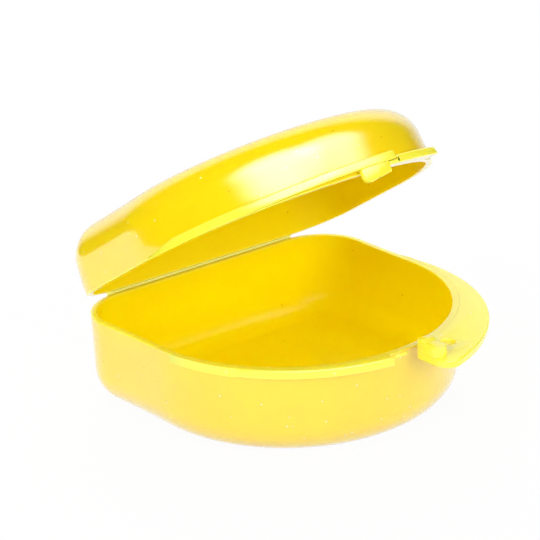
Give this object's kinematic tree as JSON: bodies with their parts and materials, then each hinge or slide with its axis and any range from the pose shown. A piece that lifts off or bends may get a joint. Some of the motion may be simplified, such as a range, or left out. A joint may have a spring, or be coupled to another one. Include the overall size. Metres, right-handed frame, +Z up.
{
  "type": "orthodontic retainer case",
  "caption": "Hinged clamshell case for a dental retainer: shallow tub with a thumb flange and lanyard eye, domed lid with a snap latch, film hinge.",
  "frame": {"origin": "middle of the underside, halfway between the hinge side and the front wall", "axes": "+Z up from the table, +Y towards the hinge side, -Y towards the front, the thumb flange right of the middle on +X"},
  "size_m": [0.0698, 0.0777, 0.0606],
  "materials": {
    "polypropylene": "glossy moulded polypropylene, yellow, slightly translucent, with fine specks"
  },
  "bodies": {
    "base": {"base_tub": "polypropylene", "base_lip": "polypropylene", "thumb_flange": "polypropylene", "latch_keeper": "polypropylene", "catch_bead": "polypropylene", "hinge_film": "polypropylene"},
    "lid": {"lid_shell": "polypropylene", "lid_left_lip": "polypropylene", "lid_right_lip": "polypropylene", "latch_tongue": "polypropylene"}
  },
  "joints": [
    {"name": "lid_hinge", "type": "hinge", "parent": "base", "child": "lid", "pos_m": [0, 0.03205, 0.019], "axis": [-1, 0, 0], "range_deg": [-31, 149], "deforming": ["hinge_film"]}
  ]
}
